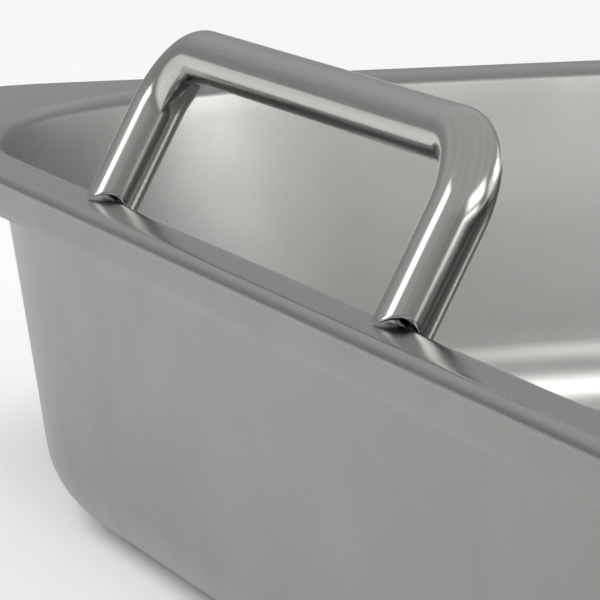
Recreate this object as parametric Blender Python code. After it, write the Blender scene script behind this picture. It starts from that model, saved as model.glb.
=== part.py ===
"""Stainless steel developing tray with two bent-rod handles.

Metres, +Z up.  The origin is the middle of the underside, so the tray stands on z = 0.
The long side runs along X and the two handles sit over the short ends, at -X and +X.
The tray itself is one sheet of steel, deep drawn, with its rim folded down all round.
"""

import math

import bmesh
import bpy
from mathutils import Vector

# --- sheet ---------------------------------------------------------------------------------
SHEET = 0.0012               # thickness of the drawn sheet
# --- tray opening, measured on the crest of the rim's inner edge ---------------------------
HALF_LENGTH = 0.315          # X, middle to inner edge of the rim
HALF_WIDTH = 0.260           # Y, middle to inner edge of the rim
CORNER_RADIUS = 0.118        # corner of the opening, seen from above
RIM_HEIGHT = 0.0855          # underside to the top of the flat rim
WALL_DRAFT = math.radians(8.9)
FLOOR_BEND = 0.0205          # radius between wall and floor, outside
# --- rim -----------------------------------------------------------------------------------
CREST_BACK = 0.0022          # flat of the rim stops this far outside the inner edge
INNER_BEND = 0.0040          # top surface, from the rim down into the tray
FLAT_EDGE = 0.0088           # flat of the rim runs out to here from the inner edge
OUTER_BEND = 0.0025          # top surface, from the rim down into the lip
LIP_DROP = 0.0089            # top of the rim to the cut edge of the lip
RIM_CORNER = 0.0575          # corner of the rim's flat, much tighter than the opening's
# --- handles -------------------------------------------------------------------------------
ROD = 0.0105                 # diameter of the bent rod
LEG_SPACING = 0.154          # between the middles of the two legs
LEG_SLANT = 0.0320           # rim to the middle of the bar, along the leg
LEG_LEAN = math.radians(27.5)  # legs lean in over the tray
ROD_BEND = 0.0135            # bend radius on the middle line of the rod
LEG_INSET = 0.0008           # leg's middle line meets the rim this far inside the inner edge
FOOT_DROP = 0.0034           # the inner side of each foot reaches this far below the top of the rim
ARCH_OUTER = 0.0012          # height of the open arch on the outer side of each foot
ARCH_INNER = 0.0008          # and on the side towards the handle's middle
ARCH_TURN = math.radians(34.0)  # the arches face along the rim, turned this much outwards
HOLLOW = 0.0007              # the foot's middle is ground this much higher than its edge
GAP = 0.0003                 # clearance between pieces that touch
# --- weld beads ----------------------------------------------------------------------------
BEAD_RADIUS = 0.0012
BEAD_HALF_LENGTH = 0.0030    # straight part, to each side of the leg's middle
BEAD_IN = 0.0036             # bead's middle, inside the rim's inner edge
BEAD_DOWN = 0.0050           # bead's middle, below the top of the rim
# --- mesh fineness -------------------------------------------------------------------------
CORNER_STEPS = 14
ROD_SIDES = 28
ROD_BEND_STEPS = 8

STEEL_BODY = (0.42, 0.415, 0.40)
STEEL_ROD = (0.56, 0.555, 0.54)
STEEL_WELD = (0.36, 0.35, 0.33)


def clear_scene():
    for item in list(bpy.data.objects):
        bpy.data.objects.remove(item, do_unlink=True)


def steel(name, colour, roughness):
    material = bpy.data.materials.new(name)
    material.use_nodes = True
    shader = material.node_tree.nodes["Principled BSDF"]
    shader.inputs["Base Color"].default_value = (*colour, 1.0)
    shader.inputs["Metallic"].default_value = 1.0
    shader.inputs["Roughness"].default_value = roughness
    material.diffuse_color = (*colour, 1.0)
    return material


def rounded_outline(inset, height):
    """Closed outline of the opening, moved in by inset, at the given height."""
    radius = CORNER_RADIUS - inset
    if inset < -FLAT_EDGE + SHEET / 2:
        # the fold and the lip follow the rim's own tighter corner
        radius = RIM_CORNER - inset - FLAT_EDGE
    middle_x = HALF_LENGTH - inset - radius
    middle_y = HALF_WIDTH - inset - radius
    points = []
    for quarter, (side_x, side_y) in enumerate(((1, 1), (-1, 1), (-1, -1), (1, -1))):
        for step in range(CORNER_STEPS + 1):
            angle = math.radians(90.0) * (quarter + step / CORNER_STEPS)
            x = side_x * middle_x + radius * math.cos(angle)
            y = side_y * middle_y + radius * math.sin(angle)
            points.append(Vector((x, y, height)))
    return points


def arc(centre, radius, start, end, steps):
    """Points of an arc in the (inset, height) plane; angles run from straight out to up."""
    points = []
    for step in range(steps + 1):
        angle = start + (end - start) * step / steps
        points.append((centre[0] - radius * math.cos(angle), centre[1] + radius * math.sin(angle)))
    return points


def tray_section():
    """Half section of the pressing as (inset, height), from the floor's top round to its underside."""
    slope = math.tan(WALL_DRAFT)
    crest = (-CREST_BACK, RIM_HEIGHT - INNER_BEND)
    fold = (-FLAT_EDGE, RIM_HEIGHT - OUTER_BEND)
    up = math.radians(90.0)
    # the inner bend turns from flat to the draft of the wall
    inner_top = []
    inner_under = []
    for step in range(6):
        angle = (up - WALL_DRAFT) * step / 5
        for radius, line in ((INNER_BEND, inner_top), (INNER_BEND - SHEET, inner_under)):
            line.append((crest[0] + radius * math.sin(angle), crest[1] + radius * math.cos(angle)))
    # the floor bend is one pair of arcs about one middle, tangent to the wall's two faces
    wall_in, wall_height = inner_under[-1]
    bend_height = FLOOR_BEND
    bend_in = wall_in + (wall_height - bend_height) * slope + FLOOR_BEND / math.cos(WALL_DRAFT)
    floor_top = arc((bend_in, bend_height), FLOOR_BEND - SHEET, -up, -WALL_DRAFT, 8)
    floor_under = arc((bend_in, bend_height), FLOOR_BEND, -WALL_DRAFT, -up, 8)
    outer_top = arc(fold, OUTER_BEND, up, 0.0, 5)
    outer_under = arc(fold, OUTER_BEND - SHEET, 0.0, up, 4)
    lip = RIM_HEIGHT - LIP_DROP
    section = list(floor_top)
    section += reversed(inner_top)
    section += outer_top
    section += [(-FLAT_EDGE - OUTER_BEND, lip)]
    section += [(-FLAT_EDGE - OUTER_BEND + SHEET, lip)]
    section += outer_under
    section += inner_under
    section += floor_under
    return section


def make_tray(material):
    mesh = bpy.data.meshes.new("tray_shell")
    body = bmesh.new()
    loops = []
    for inset, height in tray_section():
        loops.append([body.verts.new(point) for point in rounded_outline(inset, height)])
    count = len(loops[0])
    for low, high in zip(loops, loops[1:]):
        for index in range(count):
            after = (index + 1) % count
            body.faces.new((low[index], high[index], high[after], low[after]))
    body.faces.new(loops[0])
    body.faces.new(list(reversed(loops[-1])))
    bmesh.ops.recalc_face_normals(body, faces=body.faces)
    body.to_mesh(mesh)
    body.free()
    return finish("tray_shell", mesh, material)


def finish(name, mesh, material, sharp=40.0):
    mesh.materials.append(material)
    mesh.shade_smooth()
    mesh.set_sharp_from_angle(angle=math.radians(sharp))
    thing = bpy.data.objects.new(name, mesh)
    bpy.context.scene.collection.objects.link(thing)
    return thing


def handle_path():
    """Middle line of the rod as (across, along): across runs with Y, along runs up the slant."""
    half = LEG_SPACING / 2
    points = []
    for step in range(ROD_BEND_STEPS + 1):
        angle = math.radians(90.0) * step / ROD_BEND_STEPS
        across = -half + ROD_BEND - ROD_BEND * math.cos(angle)
        along = LEG_SLANT - ROD_BEND + ROD_BEND * math.sin(angle)
        points.append((across, along, angle))
    mirrored = [(-across, along, math.pi - angle) for across, along, angle in reversed(points)]
    return points + mirrored


def rim_clearance(inset):
    """Height of the coped foot's lower face, which clears the rim by GAP and dips inside it."""
    reach = INNER_BEND + GAP
    back = max(0.0, inset + CREST_BACK)
    return max(-FOOT_DROP, math.sqrt(max(0.0, reach * reach - back * back)) - INNER_BEND)


def foot_distance(offset_in, offset_up, lift):
    """How far up the leg a line of the rod meets the foot's lower face, raised by lift."""
    low, high = -0.02, 0.02
    for _ in range(40):
        run = (low + high) / 2
        inset = offset_in + LEG_INSET + run * math.sin(LEG_LEAN)
        if offset_up + run * math.cos(LEG_LEAN) < rim_clearance(inset) + lift:
            low = run
        else:
            high = run
    return (low + high) / 2


def foot_arch(turn):
    """The foot's rough cut leaves a small open arch on each side that faces along the rim."""
    facing = math.atan2(-math.cos(turn), abs(math.sin(turn))) - ARCH_TURN
    height = ARCH_OUTER if math.sin(turn) < 0.0 else ARCH_INNER
    return height * max(0.0, math.cos(2.0 * facing))


def foot_ring(rod, place, foot, part):
    """Points round the lower face of one foot, at a part of the rod's radius."""
    lean_in = math.sin(LEG_LEAN)
    lean_up = math.cos(LEG_LEAN)
    radius = ROD / 2 * part
    ring = []
    for index in range(ROD_SIDES):
        turn = 2.0 * math.pi * index / ROD_SIDES
        offset_in = radius * math.cos(turn) * lean_up
        offset_up = -radius * math.cos(turn) * lean_in
        offset_across = radius * math.sin(turn)
        run = foot_distance(offset_in, offset_up, foot_arch(turn) * part + HOLLOW * (1.0 - part))
        across = foot * (LEG_SPACING / 2 - offset_across)
        inward = offset_in + LEG_INSET + run * lean_in
        ring.append(rod.verts.new(place(inward, across, offset_up + run * lean_up)))
    return ring


def make_handle(name, side, material):
    """side is -1 for the end at -X and +1 for the end at +X."""
    lean_in = math.sin(LEG_LEAN)
    lean_up = math.cos(LEG_LEAN)

    def place(inward, across, upward):
        # inward and upward are measured from the rim's inner edge at the top of the rim
        return Vector((side * (HALF_LENGTH - inward), across, RIM_HEIGHT + upward))

    mesh = bpy.data.meshes.new(name)
    rod = bmesh.new()
    radius = ROD / 2
    rings = []
    for foot in (-1, 1):
        rings.append([foot_ring(rod, place, foot, part) for part in (1.0, 0.68, 0.34)])
    middle = []
    for across, along, angle in handle_path():
        ring = []
        for index in range(ROD_SIDES):
            turn = 2.0 * math.pi * index / ROD_SIDES
            normal = radius * math.cos(turn)
            inside = radius * math.sin(turn)
            in_across = across + inside * math.cos(angle)
            in_along = along - inside * math.sin(angle)
            inward = normal * lean_up + LEG_INSET + in_along * lean_in
            upward = -normal * lean_in + in_along * lean_up
            ring.append(rod.verts.new(place(inward, in_across, upward)))
        middle.append(ring)
    rings = rings[0][::-1] + middle + rings[1]
    for low, high in zip(rings, rings[1:]):
        for index in range(ROD_SIDES):
            after = (index + 1) % ROD_SIDES
            rod.faces.new((low[index], high[index], high[after], low[after]))
    for foot, ring in ((-1, rings[0]), (1, rings[-1])):
        run = foot_distance(0.0, 0.0, HOLLOW)
        inward = run * lean_in + LEG_INSET
        middle_point = rod.verts.new(place(inward, foot * LEG_SPACING / 2, run * lean_up))
        for index in range(ROD_SIDES):
            rod.faces.new((middle_point, ring[index], ring[(index + 1) % ROD_SIDES]))
    bmesh.ops.recalc_face_normals(rod, faces=rod.faces)
    rod.to_mesh(mesh)
    rod.free()
    return finish(name, mesh, material)


def make_bead(name, side, across, material):
    """Weld bead under the inner side of one foot: a short rod with round ends."""
    mesh = bpy.data.meshes.new(name)
    bead = bmesh.new()
    bmesh.ops.create_uvsphere(bead, u_segments=12, v_segments=9, radius=BEAD_RADIUS)
    for vert in bead.verts:
        # the ball's poles lie along Y, and its two halves are pulled apart
        x, y, z = vert.co
        shift = math.copysign(BEAD_HALF_LENGTH, z)
        vert.co = (x, z + shift, -y)
    bmesh.ops.recalc_face_normals(bead, faces=bead.faces)
    bead.to_mesh(mesh)
    bead.free()
    thing = finish(name, mesh, material, sharp=60.0)
    thing.location = (side * (HALF_LENGTH - BEAD_IN), across, RIM_HEIGHT - BEAD_DOWN)
    return thing


def main():
    clear_scene()
    body_steel = steel("steel_body", STEEL_BODY, 0.38)
    make_tray(body_steel)
    for name, side in (("handle_left", -1), ("handle_right", 1)):
        make_handle(name, side, steel("steel_" + name, STEEL_ROD, 0.14))
    for end, side in (("left", -1), ("right", 1)):
        for place, sign in (("front", -1), ("back", 1)):
            name = "weld_" + end + "_" + place
            make_bead(name, side, sign * LEG_SPACING / 2, steel("steel_" + name, STEEL_WELD, 0.45))


main()
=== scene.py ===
import math

import bmesh
import bpy
from mathutils import Matrix, Vector, noise


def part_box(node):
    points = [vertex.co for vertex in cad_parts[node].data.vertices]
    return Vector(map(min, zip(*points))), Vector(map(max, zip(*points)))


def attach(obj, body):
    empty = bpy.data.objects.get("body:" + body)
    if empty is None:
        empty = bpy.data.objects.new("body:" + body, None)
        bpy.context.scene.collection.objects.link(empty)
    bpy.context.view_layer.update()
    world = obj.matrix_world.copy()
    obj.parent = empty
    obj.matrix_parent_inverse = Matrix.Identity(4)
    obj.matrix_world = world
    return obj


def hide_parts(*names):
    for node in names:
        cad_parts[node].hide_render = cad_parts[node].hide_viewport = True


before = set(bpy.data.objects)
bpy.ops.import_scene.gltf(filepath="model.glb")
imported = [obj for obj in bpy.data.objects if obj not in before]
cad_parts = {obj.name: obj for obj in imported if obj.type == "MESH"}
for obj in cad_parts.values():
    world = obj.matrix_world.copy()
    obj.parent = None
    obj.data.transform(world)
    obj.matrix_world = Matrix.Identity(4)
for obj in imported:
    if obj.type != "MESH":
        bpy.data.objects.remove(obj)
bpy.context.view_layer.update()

# Looks of a stainless steel developing tray: a drawn shell, two bent-rod handles and their welds.
# Metres, +Z up, the CAD's own frame. Sections are (inset, height): inset runs from the rim's
# inner edge towards the middle of the tray.

SHELL_LOW, SHELL_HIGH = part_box("tray_shell")
SHEET = 0.0012
RIM_HEIGHT = SHELL_HIGH.z
RIM_REACH = 0.0113                      # inner edge of the rim to the outside of the lip
HALF_LENGTH = SHELL_HIGH.x - RIM_REACH
HALF_WIDTH = SHELL_HIGH.y - RIM_REACH
CORNER_RADIUS = 0.118
WALL_DRAFT = math.radians(8.9)
FLOOR_BEND = 0.0205
CREST_BACK = 0.0022
INNER_BEND = 0.0040
FLAT_EDGE = 0.0088
OUTER_BEND = 0.0025
LIP_DROP = 0.0089
RIM_CORNER = 0.0575
ROD = 0.0105
LEG_SPACING = 0.154
LEG_SLANT = 0.0320
LEG_LEAN = math.radians(27.5)
ROD_BEND = 0.0135
LEG_INSET = 0.0008                      # leg's middle line inside the rim's inner edge
FOOT_DROP = 0.0034                      # reach of a foot below the top of the rim
ARCH_OUTER = 0.0012                     # open arch on the outer side of each foot
ARCH_INNER = 0.0008                     # and on the side towards the handle's middle
ARCH_TURN = math.radians(34.0)
HOLLOW = 0.0007                         # the middle of a foot is this much higher than its edge
GAP = 0.0003                            # clearance between a foot and the rim
FLOOR_DROP = 0.0002                     # studio floor below the tray's underside
LENS = 248.4408                         # mm, on a 36 mm sensor
RIGHT_ANGLE = math.radians(90.0)


# --- shell ---------------------------------------------------------------------------------

def outline(inset, height, arc_steps, side_steps):
    """Closed outline at an inset and height; the lip follows the rim's own tighter corner."""
    radius = CORNER_RADIUS - inset
    if inset < -FLAT_EDGE + SHEET / 2:
        radius = RIM_CORNER - inset - FLAT_EDGE
    middle_x = HALF_LENGTH - inset - radius
    middle_y = HALF_WIDTH - inset - radius
    corners = []
    for quarter, (side_x, side_y) in enumerate(((1, 1), (-1, 1), (-1, -1), (1, -1))):
        arc = []
        for step in range(arc_steps + 1):
            angle = RIGHT_ANGLE * (quarter + step / arc_steps)
            x = side_x * middle_x + radius * math.cos(angle)
            y = side_y * middle_y + radius * math.sin(angle)
            arc.append(Vector((x, y, height)))
        corners.append(arc)
    points = []
    for index, arc in enumerate(corners):
        points += arc
        start = arc[-1]
        end = corners[(index + 1) % 4][0]
        for step in range(1, side_steps):
            points.append(start.lerp(end, step / side_steps))
    return points


def arc_points(centre, radius, start, end, steps):
    """Section points on an arc; angle 0 is towards the outside and 90 degrees is up."""
    points = []
    for step in range(steps + 1):
        angle = start + (end - start) * step / steps
        points.append((centre[0] - radius * math.cos(angle), centre[1] + radius * math.sin(angle)))
    return points


def between(first, last, steps):
    """Points strictly between two section points."""
    result = []
    for step in range(1, steps):
        part = step / steps
        inset = first[0] + (last[0] - first[0]) * part
        result.append((inset, first[1] + (last[1] - first[1]) * part))
    return result


def shell_section():
    """Section of the sheet from the floor's upper face, over the rim, to the floor's underside."""
    slope = math.tan(WALL_DRAFT)
    crest = (-CREST_BACK, RIM_HEIGHT - INNER_BEND)
    fold = (-FLAT_EDGE, RIM_HEIGHT - OUTER_BEND)
    turn = RIGHT_ANGLE - WALL_DRAFT
    inner_top = []
    inner_under = []
    for step in range(13):
        angle = turn * step / 12
        for radius, line in ((INNER_BEND, inner_top), (INNER_BEND - SHEET, inner_under)):
            line.append((crest[0] + radius * math.sin(angle), crest[1] + radius * math.cos(angle)))
    wall_in, wall_height = inner_under[-1]
    bend_in = wall_in + (wall_height - FLOOR_BEND) * slope + FLOOR_BEND / math.cos(WALL_DRAFT)
    bend = (bend_in, FLOOR_BEND)
    floor_top = arc_points(bend, FLOOR_BEND - SHEET, -RIGHT_ANGLE, -WALL_DRAFT, 22)
    floor_under = arc_points(bend, FLOOR_BEND, -WALL_DRAFT, -RIGHT_ANGLE, 22)
    outer_top = arc_points(fold, OUTER_BEND, RIGHT_ANGLE, 0.0, 12)
    outer_under = arc_points(fold, OUTER_BEND - SHEET, 0.0, RIGHT_ANGLE, 8)
    lip = RIM_HEIGHT - LIP_DROP
    lip_out = -FLAT_EDGE - OUTER_BEND
    burr = 0.00022
    edge = [
        (lip_out, lip + burr),
        (lip_out + burr * 0.3, lip + burr * 0.3),
        (lip_out + burr, lip),
        (lip_out + SHEET - burr, lip),
        (lip_out + SHEET - burr * 0.3, lip + burr * 0.3),
        (lip_out + SHEET, lip + burr),
    ]
    section = list(floor_top)
    section += between(floor_top[-1], inner_top[-1], 14)
    section += reversed(inner_top)
    section += between(inner_top[0], outer_top[0], 4)
    section += outer_top
    section += between(outer_top[-1], edge[0], 3)
    section += edge
    section += outer_under
    section += inner_under
    section += between(inner_under[-1], floor_under[0], 14)
    section += floor_under
    return section


def ripple(point):
    """Slow unevenness of drawn sheet, as a shift that both of its faces share."""
    slow = noise.noise(Vector((point.x * 7.0, point.y * 7.0, point.z * 9.0)))
    quick = noise.noise(Vector((point.x * 19.0 + 5.0, point.y * 19.0, point.z * 24.0)))
    size = 0.00016 * slow + 0.00005 * quick
    depth = max(0.0, min(1.0, (RIM_HEIGHT - 0.004 - point.z) / 0.03))
    middle = max(0.0, min(1.0, point.z / 0.02))
    outward = Vector((point.x, point.y, 0.0)).normalized()
    lift = Vector((0.0, 0.0, 0.7 * (1.0 - middle) * max(0.0, noise.noise(point * 5.0)) * 0.0004))
    return outward * size * depth * middle + lift


def make_shell():
    arc_steps, side_steps = 36, 18
    body = bmesh.new()
    loops = []
    section = shell_section()
    for inset, height in section:
        points = outline(inset, height, arc_steps, side_steps)
        loops.append([body.verts.new(point) for point in points])
    count = len(loops[0])
    for low, high in zip(loops, loops[1:]):
        for index in range(count):
            after = (index + 1) % count
            body.faces.new((low[index], high[index], high[after], low[after]))
    for loop, flip in ((loops[0], False), (loops[-1], True)):
        close_floor(body, loop, flip)
    for vert in body.verts:
        vert.co += ripple(vert.co)
    bmesh.ops.recalc_face_normals(body, faces=body.faces)
    return finish_mesh("shell_steel", body, sharp=50.0)


def close_floor(body, loop, flip):
    """Rings that shrink towards the middle, so the flat floor can carry a slight unevenness."""
    rings = 10
    count = len(loop)
    outer = loop
    for ring in range(1, rings):
        scale = 1.0 - ring / rings
        inner = [body.verts.new((v.co.x * scale, v.co.y * scale, v.co.z)) for v in loop]
        for index in range(count):
            after = (index + 1) % count
            face = (outer[index], inner[index], inner[after], outer[after])
            body.faces.new(face if flip else tuple(reversed(face)))
        outer = inner
    middle = body.verts.new((0.0, 0.0, loop[0].co.z))
    for index in range(count):
        after = (index + 1) % count
        face = (outer[index], middle, outer[after])
        body.faces.new(face if flip else tuple(reversed(face)))


def finish_mesh(name, body, sharp):
    mesh = bpy.data.meshes.new(name)
    body.to_mesh(mesh)
    body.free()
    mesh.shade_smooth()
    mesh.set_sharp_from_angle(angle=math.radians(sharp))
    thing = bpy.data.objects.new(name, mesh)
    bpy.context.scene.collection.objects.link(thing)
    return thing


# --- handles -------------------------------------------------------------------------------

def rim_clearance(inset):
    """Height of a foot's coped lower face over the rim's inner edge."""
    reach = INNER_BEND + GAP
    back = max(0.0, inset + CREST_BACK)
    return max(-FOOT_DROP, math.sqrt(max(0.0, reach * reach - back * back)) - INNER_BEND)


def foot_run(offset_in, offset_up, lift):
    """How far up the leg a line of the rod meets the foot's lower face, raised by lift."""
    low, high = -0.02, 0.02
    for _ in range(40):
        run = (low + high) / 2
        inset = offset_in + LEG_INSET + run * math.sin(LEG_LEAN)
        if offset_up + run * math.cos(LEG_LEAN) < rim_clearance(inset) + lift:
            low = run
        else:
            high = run
    return (low + high) / 2


def foot_arch(turn):
    """The rough cut leaves a small open arch on each side of a foot that faces along the rim."""
    facing = math.atan2(-math.cos(turn), abs(math.sin(turn))) - ARCH_TURN
    height = ARCH_OUTER if math.sin(turn) < 0.0 else ARCH_INNER
    return height * max(0.0, math.cos(2.0 * facing))


def rod_stations():
    """(across, along, angle) down the middle line, from one leg's top round to the other's."""
    half = LEG_SPACING / 2
    first = []
    for step in range(25):
        angle = RIGHT_ANGLE * step / 24
        across = -half + ROD_BEND - ROD_BEND * math.cos(angle)
        first.append((across, LEG_SLANT - ROD_BEND + ROD_BEND * math.sin(angle), angle))
    last = [(-across, along, math.pi - angle) for across, along, angle in reversed(first)]
    bar = []
    for step in range(1, 24):
        part = step / 24
        bar.append((first[-1][0] + (last[0][0] - first[-1][0]) * part, LEG_SLANT, RIGHT_ANGLE))
    return first + bar + last


def make_handle(name, side):
    lean_in, lean_up = math.sin(LEG_LEAN), math.cos(LEG_LEAN)
    sides = 64
    rod = bmesh.new()
    along_rod = rod.verts.layers.float.new("along")
    round_rod = rod.verts.layers.float.new("round")
    radius = ROD / 2

    def place(inward, across, upward):
        return Vector((side * (HALF_LENGTH - inward), across, RIM_HEIGHT + upward))

    def add(inward, across, upward, distance, turn):
        vert = rod.verts.new(place(inward, across, upward))
        vert[along_rod] = distance
        vert[round_rod] = turn
        return vert

    def foot_ring(foot, part, lift):
        """Points round a foot at a part of the rod's radius."""
        ring = []
        for index in range(sides):
            turn = 2.0 * math.pi * index / sides
            size = radius * part
            offset_in = size * math.cos(turn) * lean_up
            offset_up = -size * math.cos(turn) * lean_in
            offset_across = size * math.sin(turn)
            raised = foot_arch(turn) * part + HOLLOW * (1.0 - part)
            run = foot_run(offset_in, offset_up, raised) + lift
            across = foot * (LEG_SPACING / 2 - offset_across)
            inward = offset_in + LEG_INSET + run * lean_in
            distance = run if foot < 0 else total - run
            ring.append(add(inward, across, offset_up + run * lean_up, distance, turn))
        return ring

    stations = rod_stations()
    total = 2.0 * (LEG_SLANT - ROD_BEND) + LEG_SPACING - 2.0 * ROD_BEND + math.pi * ROD_BEND
    foot_steps = (
        (0.3, 0.0), (0.6, 0.0), (0.85, 0.0), (0.95, 0.0), (0.985, 0.00008),
        (1.0, 0.00028), (1.0, 0.0008), (1.0, 0.0022), (1.0, 0.006),
    )
    rings = [foot_ring(-1, part, lift) for part, lift in foot_steps]
    distance = LEG_SLANT - ROD_BEND
    before = stations[0]
    for station in stations:
        across, along, angle = station
        distance += math.hypot(across - before[0], along - before[1])
        before = station
        ring = []
        for index in range(sides):
            turn = 2.0 * math.pi * index / sides
            normal = radius * math.cos(turn)
            inside = radius * math.sin(turn)
            in_across = across + inside * math.cos(angle)
            in_along = along - inside * math.sin(angle)
            inward = normal * lean_up + LEG_INSET + in_along * lean_in
            upward = -normal * lean_in + in_along * lean_up
            ring.append(add(inward, in_across, upward, distance, turn))
        rings.append(ring)
    rings += [foot_ring(1, part, lift) for part, lift in reversed(foot_steps)]
    for low, high in zip(rings, rings[1:]):
        for index in range(sides):
            after = (index + 1) % sides
            rod.faces.new((low[index], high[index], high[after], low[after]))
    rod.faces.new(rings[0])
    rod.faces.new(list(reversed(rings[-1])))
    bmesh.ops.recalc_face_normals(rod, faces=rod.faces)
    return finish_mesh(name, rod, sharp=60.0)


# --- weld beads ----------------------------------------------------------------------------

def make_bead(name, low, high, seed):
    """A short run of overlapping weld ripples that fills its CAD node's box."""
    centre = (Vector(low) + Vector(high)) / 2
    half = (Vector(high) - Vector(low)) / 2
    bead = bmesh.new()
    sides, stations = 28, 56
    rings = []
    for station in range(stations + 1):
        part = -1.0 + 2.0 * station / stations
        swell = math.sqrt(max(0.0, 1.0 - part ** 6))
        scale = 0.90 + 0.10 * abs(math.sin(part * math.pi * 3.6 + 0.7 * seed))
        ring = []
        for index in range(sides):
            turn = 2.0 * math.pi * index / sides
            spot = Vector((math.cos(turn) + seed, math.sin(turn), part * 3.0))
            lump = 1.0 + 0.06 * noise.noise(spot)
            size = swell * scale * lump * 0.98
            x = centre.x + half.x * size * math.cos(turn)
            z = centre.z + half.z * size * math.sin(turn)
            ring.append(bead.verts.new((x, centre.y + half.y * part, z)))
        rings.append(ring)
    for end in (0, -1):
        tip = rings[end][0].co.copy()
        bmesh.ops.delete(bead, geom=rings[end], context="VERTS")
        rings[end] = [bead.verts.new((centre.x, tip.y, centre.z))]
    for index in range(sides):
        after = (index + 1) % sides
        bead.faces.new((rings[0][0], rings[1][index], rings[1][after]))
        bead.faces.new((rings[-1][0], rings[-2][after], rings[-2][index]))
        for low_ring, high_ring in zip(rings[1:-2], rings[2:-1]):
            bead.faces.new((low_ring[index], high_ring[index], high_ring[after], low_ring[after]))
    bmesh.ops.recalc_face_normals(bead, faces=bead.faces)
    return finish_mesh(name, bead, sharp=70.0)


# --- materials -----------------------------------------------------------------------------

class Graph:
    """Short calls for building a node tree."""

    def __init__(self, tree):
        self.tree = tree
        tree.nodes.clear()

    def add(self, kind, **values):
        node = self.tree.nodes.new(kind)
        for name, value in values.items():
            setattr(node, name, value)
        return node

    def wire(self, source, target):
        self.tree.links.new(source, target)

    def put(self, value, socket):
        if isinstance(value, bpy.types.NodeSocket):
            self.wire(value, socket)
        else:
            socket.default_value = value

    def math(self, operation, first, second=0.0, third=0.0):
        node = self.add("ShaderNodeMath", operation=operation)
        for value, socket in zip((first, second, third), node.inputs):
            self.put(value, socket)
        return node.outputs[0]

    def ranged(self, value, low, high, to_low, to_high, smooth=False):
        shape = "SMOOTHSTEP" if smooth else "LINEAR"
        node = self.add("ShaderNodeMapRange", interpolation_type=shape)
        self.put(value, node.inputs["Value"])
        names = ("From Min", "From Max", "To Min", "To Max")
        for name, number in zip(names, (low, high, to_low, to_high)):
            self.put(number, node.inputs[name])
        return node.outputs["Result"]

    def noise(self, vector, scale, detail=2.0, roughness=0.5):
        node = self.add("ShaderNodeTexNoise")
        node.noise_dimensions = "3D"
        self.wire(vector, node.inputs["Vector"])
        node.inputs["Scale"].default_value = scale
        node.inputs["Detail"].default_value = detail
        node.inputs["Roughness"].default_value = roughness
        return node.outputs["Fac"]

    def stretched(self, vector, scale):
        node = self.add("ShaderNodeMapping")
        self.wire(vector, node.inputs["Vector"])
        node.inputs["Scale"].default_value = scale
        return node.outputs["Vector"]

    def bump(self, height, strength, distance, under=None):
        node = self.add("ShaderNodeBump")
        node.inputs["Strength"].default_value = strength
        node.inputs["Distance"].default_value = distance
        self.wire(height, node.inputs["Height"])
        if under is not None:
            self.wire(under, node.inputs["Normal"])
        return node.outputs["Normal"]

    def blend(self, part, first, second):
        node = self.add("ShaderNodeMix", data_type="RGBA")
        self.put(part, node.inputs[0])
        self.put(first, node.inputs[6])
        self.put(second, node.inputs[7])
        return node.outputs[2]


def new_steel(name):
    material = bpy.data.materials.new(name)
    material.use_nodes = True
    graph = Graph(material.node_tree)
    output = graph.add("ShaderNodeOutputMaterial")
    shader = graph.add("ShaderNodeBsdfPrincipled")
    shader.inputs["Metallic"].default_value = 1.0
    graph.wire(shader.outputs[0], output.inputs["Surface"])
    place = graph.add("ShaderNodeTexCoord").outputs["Object"]
    return material, graph, shader, place


def satin_steel():
    """Drawn and pickled sheet: a fine grain all over, smoother on the flat of the rim, where the
    base colour is also made lighter and bluish as a painted sheen.
    """
    material, graph, shader, place = new_steel("satin_steel")
    height = graph.add("ShaderNodeSeparateXYZ")
    graph.wire(place, height.inputs[0])
    rim_low, rim_high = RIM_HEIGHT - 0.0030, RIM_HEIGHT - 0.0004
    # Mask for the flat of the rim: it drives both the rim's smoother finish (roughness) and its
    # painted sheen (lighter base colour).
    rim_smooth_and_sheen = graph.ranged(height.outputs["Z"], rim_low, rim_high, 0.0, 1.0, True)
    cloud = graph.noise(place, 9.0, 3.0)
    patch = graph.noise(place, 46.0, 4.0)
    speck = graph.noise(place, 1250.0, 2.0, 0.6)
    grain = graph.noise(place, 480.0, 2.0)
    tone = graph.ranged(cloud, 0.35, 0.65, 0.0, 1.0)
    base = graph.blend(tone, (0.262, 0.259, 0.253, 1.0), (0.285, 0.282, 0.276, 1.0))
    fine = graph.ranged(speck, 0.35, 0.65, 0.0, 0.12)
    base = graph.blend(fine, base, (0.205, 0.202, 0.196, 1.0))
    # Painted sheen: the flat of the rim gets a lighter, bluish base colour that stands in for the
    # light it reflects.
    base = graph.blend(graph.math("MULTIPLY", rim_smooth_and_sheen, 0.85), base, (0.425, 0.440, 0.436, 1.0))
    graph.wire(base, shader.inputs["Base Color"])
    dull = graph.ranged(patch, 0.3, 0.7, 0.32, 0.37)
    dull = graph.math("ADD", dull, graph.ranged(speck, 0.3, 0.7, -0.012, 0.012))
    smooth = graph.ranged(patch, 0.3, 0.7, 0.15, 0.19)
    share = graph.math("SUBTRACT", 1.0, rim_smooth_and_sheen)
    off_rim = graph.math("MULTIPLY", dull, share)
    rough = graph.math("ADD", off_rim, graph.math("MULTIPLY", smooth, rim_smooth_and_sheen))
    graph.wire(rough, shader.inputs["Roughness"])
    wave = graph.bump(cloud, 0.5, 0.0012)
    wave = graph.bump(grain, 0.05, 0.00005, wave)
    graph.wire(graph.bump(speck, 0.07, 0.00003, wave), shader.inputs["Normal"])
    return material


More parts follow.
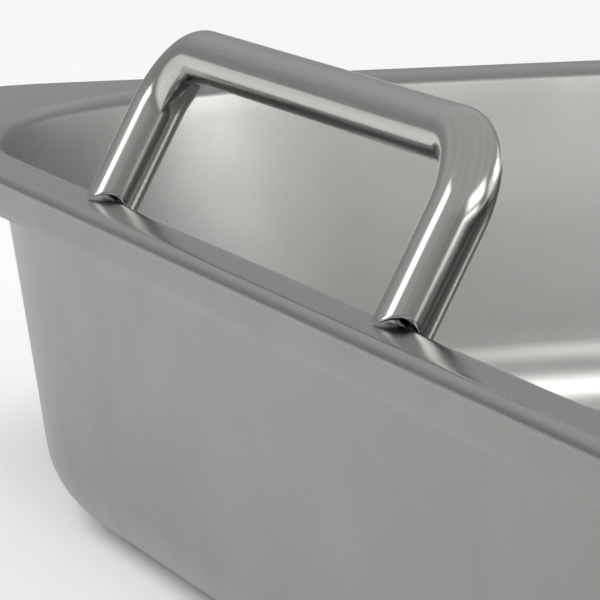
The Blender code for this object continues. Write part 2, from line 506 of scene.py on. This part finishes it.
def bright_steel():
    """Polished round bar with faint drawing lines along it."""
    material, graph, shader, place = new_steel("bright_steel")
    along = graph.add("ShaderNodeAttribute", attribute_name="along").outputs["Fac"]
    turn = graph.add("ShaderNodeAttribute", attribute_name="round").outputs["Fac"]
    joined = graph.add("ShaderNodeCombineXYZ")
    graph.wire(graph.math("MULTIPLY", graph.math("COSINE", turn), 0.005), joined.inputs["X"])
    graph.wire(graph.math("MULTIPLY", graph.math("SINE", turn), 0.005), joined.inputs["Y"])
    graph.wire(along, joined.inputs["Z"])
    lines = graph.noise(graph.stretched(joined.outputs[0], (1.0, 1.0, 0.02)), 2600.0, 3.0, 0.6)
    streak = graph.noise(graph.stretched(joined.outputs[0], (1.0, 1.0, 0.05)), 420.0, 2.0)
    cloud = graph.noise(place, 60.0, 3.0)
    tone = graph.ranged(lines, 0.3, 0.7, 0.0, 1.0)
    base = graph.blend(tone, (0.44, 0.437, 0.425, 1.0), (0.50, 0.497, 0.483, 1.0))
    graph.wire(base, shader.inputs["Base Color"])
    slow = graph.ranged(cloud, 0.3, 0.7, 0.13, 0.17)
    rough = graph.math("ADD", slow, graph.ranged(lines, 0.3, 0.7, -0.01, 0.02))
    graph.wire(rough, shader.inputs["Roughness"])
    normal = graph.bump(streak, 0.10, 0.00008)
    graph.wire(graph.bump(lines, 0.10, 0.00002, normal), shader.inputs["Normal"])
    return material


def weld_steel():
    """Weld metal: greyer than the sheet, with a faint straw and blue heat tint."""
    material, graph, shader, place = new_steel("weld_steel")
    cloud = graph.noise(place, 420.0, 3.0)
    speck = graph.noise(place, 2600.0, 3.0, 0.6)
    tint = graph.ranged(cloud, 0.4, 0.6, 0.0, 1.0)
    base = graph.blend(tint, (0.40, 0.36, 0.29, 1.0), (0.30, 0.32, 0.36, 1.0))
    graph.wire(base, shader.inputs["Base Color"])
    graph.wire(graph.ranged(speck, 0.3, 0.7, 0.30, 0.48), shader.inputs["Roughness"])
    graph.wire(graph.bump(speck, 0.4, 0.00005), shader.inputs["Normal"])
    return material


def dress(piece, material, slot, *nodes):
    piece.data.materials.clear()
    piece.data.materials.append(material)
    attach(piece, "root")
    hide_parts(*nodes)


# --- studio --------------------------------------------------------------------------------

def make_floor():
    floor = bmesh.new()
    bmesh.ops.create_grid(floor, x_segments=1, y_segments=1, size=30.0)
    bmesh.ops.translate(floor, verts=floor.verts, vec=(0.0, 0.0, -FLOOR_DROP))
    thing = finish_mesh("studio_floor", floor, sharp=30.0)
    material = bpy.data.materials.new("studio_paper")
    material.use_nodes = True
    shader = material.node_tree.nodes["Principled BSDF"]
    shader.inputs["Base Color"].default_value = (0.85, 0.85, 0.845, 1.0)
    shader.inputs["Roughness"].default_value = 1.0
    shader.inputs["Specular IOR Level"].default_value = 0.0
    thing.data.materials.append(material)


def window(graph, value, low, high, soft):
    """1 between low and high, falling smoothly to 0 over a band of width soft on both sides."""
    rise = graph.ranged(value, low - soft / 2, low + soft / 2, 0.0, 1.0, True)
    fall = graph.ranged(value, high - soft / 2, high + soft / 2, 1.0, 0.0, True)
    return graph.math("MULTIPLY", rise, fall)


# Softboxes: compass range and height range in degrees with their soft edges, and brightness.
# The compass runs from -180 to 180, with 0 along +Y and 90 along +X.
SOFTBOXES = (
    (-98.0, -74.0, 8.0, 12.0, 44.0, 6.0, 2.8),
    (126.0, 172.0, 20.0, 10.0, 27.0, 8.0, 2.6),
    (138.0, 176.0, 14.0, -10.0, 5.0, 4.0, 2.4),
    (62.0, 112.0, 14.0, -10.0, 14.0, 6.0, 1.0),
)
SKY_LEVEL = 0.60
HORIZON_LEVEL = 0.36


def make_world():
    world = bpy.data.worlds.new("studio")
    bpy.context.scene.world = world
    world.use_nodes = True
    graph = Graph(world.node_tree)
    output = graph.add("ShaderNodeOutputWorld")
    light = graph.add("ShaderNodeBackground")
    graph.wire(light.outputs[0], output.inputs["Surface"])
    direction = graph.add("ShaderNodeTexCoord").outputs["Generated"]
    parts = graph.add("ShaderNodeSeparateXYZ")
    graph.wire(direction, parts.inputs[0])
    height = graph.math("DEGREES", graph.math("ARCSINE", parts.outputs["Z"]))
    compass = graph.math("DEGREES", graph.math("ARCTAN2", parts.outputs["X"], parts.outputs["Y"]))
    total = graph.ranged(height, 8.0, 30.0, HORIZON_LEVEL, SKY_LEVEL, True)
    for left, right, side_soft, low, high, soft, level in SOFTBOXES:
        across = window(graph, compass, left, right, side_soft)
        upright = window(graph, height, low, high, soft)
        box = graph.math("MULTIPLY", graph.math("MULTIPLY", across, upright), level)
        total = graph.math("ADD", total, box)
    graph.wire(total, light.inputs["Strength"])
    light.inputs["Color"].default_value = (1.0, 0.995, 0.985, 1.0)


def place_lamp(name, kind, energy, location, aim):
    """A lamp that the camera doesn't see, shining from location along -aim."""
    data = bpy.data.lights.new(name, kind)
    data.energy = energy
    lamp = bpy.data.objects.new(name, data)
    bpy.context.scene.collection.objects.link(lamp)
    lamp.location = location
    lamp.rotation_euler = Vector(aim).to_track_quat("Z", "Y").to_euler()
    lamp.visible_camera = False
    return lamp


def make_lamps():
    """Soft light from above, two small glows inside the tray and one on the floor beside it."""
    overhead = place_lamp("overhead", "SUN", 1.5, (0.0, 0.0, 2.0), (-0.75, -0.45, 0.95))
    overhead.data.angle = math.radians(50.0)
    overhead.visible_glossy = False
    corner = place_lamp("corner_glow", "AREA", 0.33, (0.17, -0.005, 0.175), (0.853, -0.52, 0.16))
    corner.data.shape = "RECTANGLE"
    corner.data.size = 0.18
    corner.data.size_y = 0.06
    bend = place_lamp("bend_glow", "AREA", 0.05, (-0.12, 0.226, 0.072), (0.0, 0.0, 1.0))
    bend.data.shape = "RECTANGLE"
    bend.data.size = 0.18
    bend.data.size_y = 0.040
    bend.data.spread = math.radians(80.0)
    fill = place_lamp("floor_fill", "AREA", 1.9, (-0.85, -0.15, 0.62), (-0.43, -0.20, 0.62))
    fill.data.size = 0.5
    fill.visible_glossy = False


def make_camera():
    """Long lens, low and close, looking past the left handle along the short end."""
    data = bpy.data.cameras.new("camera")
    data.sensor_width = 36.0
    data.lens = LENS
    data.clip_start = 0.02
    data.clip_end = 100.0
    camera = bpy.data.objects.new("camera", data)
    bpy.context.scene.collection.objects.link(camera)
    camera.location = Vector((SHELL_LOW.x - 0.2359, -0.6937, RIM_HEIGHT + 0.1157))
    heading, dip = math.radians(20.42), math.radians(9.57)
    level = math.cos(dip)
    ahead = Vector((math.sin(heading) * level, math.cos(heading) * level, -math.sin(dip)))
    right = Vector((math.cos(heading), -math.sin(heading), 0.0))
    up = right.cross(ahead)
    turn = Matrix((right, up, -ahead)).transposed().to_4x4()
    camera.matrix_world = Matrix.Translation(camera.location) @ turn
    bpy.context.scene.camera = camera


def main():
    dress(make_shell(), satin_steel(), "satin_steel", "tray_shell")
    polished = bright_steel()
    for name, side in (("left", -1), ("right", 1)):
        dress(make_handle("rod_" + name, side), polished, "bright_steel", "handle_" + name)
    weld = weld_steel()
    for seed, name in enumerate(("left_front", "left_back", "right_front", "right_back")):
        node = "weld_" + name
        low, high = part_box(node)
        dress(make_bead("bead_" + name, low, high, seed), weld, "weld_steel", node)
    make_floor()
    make_world()
    make_lamps()
    make_camera()
    scene = bpy.context.scene
    scene.view_settings.view_transform = "Standard"
    scene.view_settings.look = "None"


main()
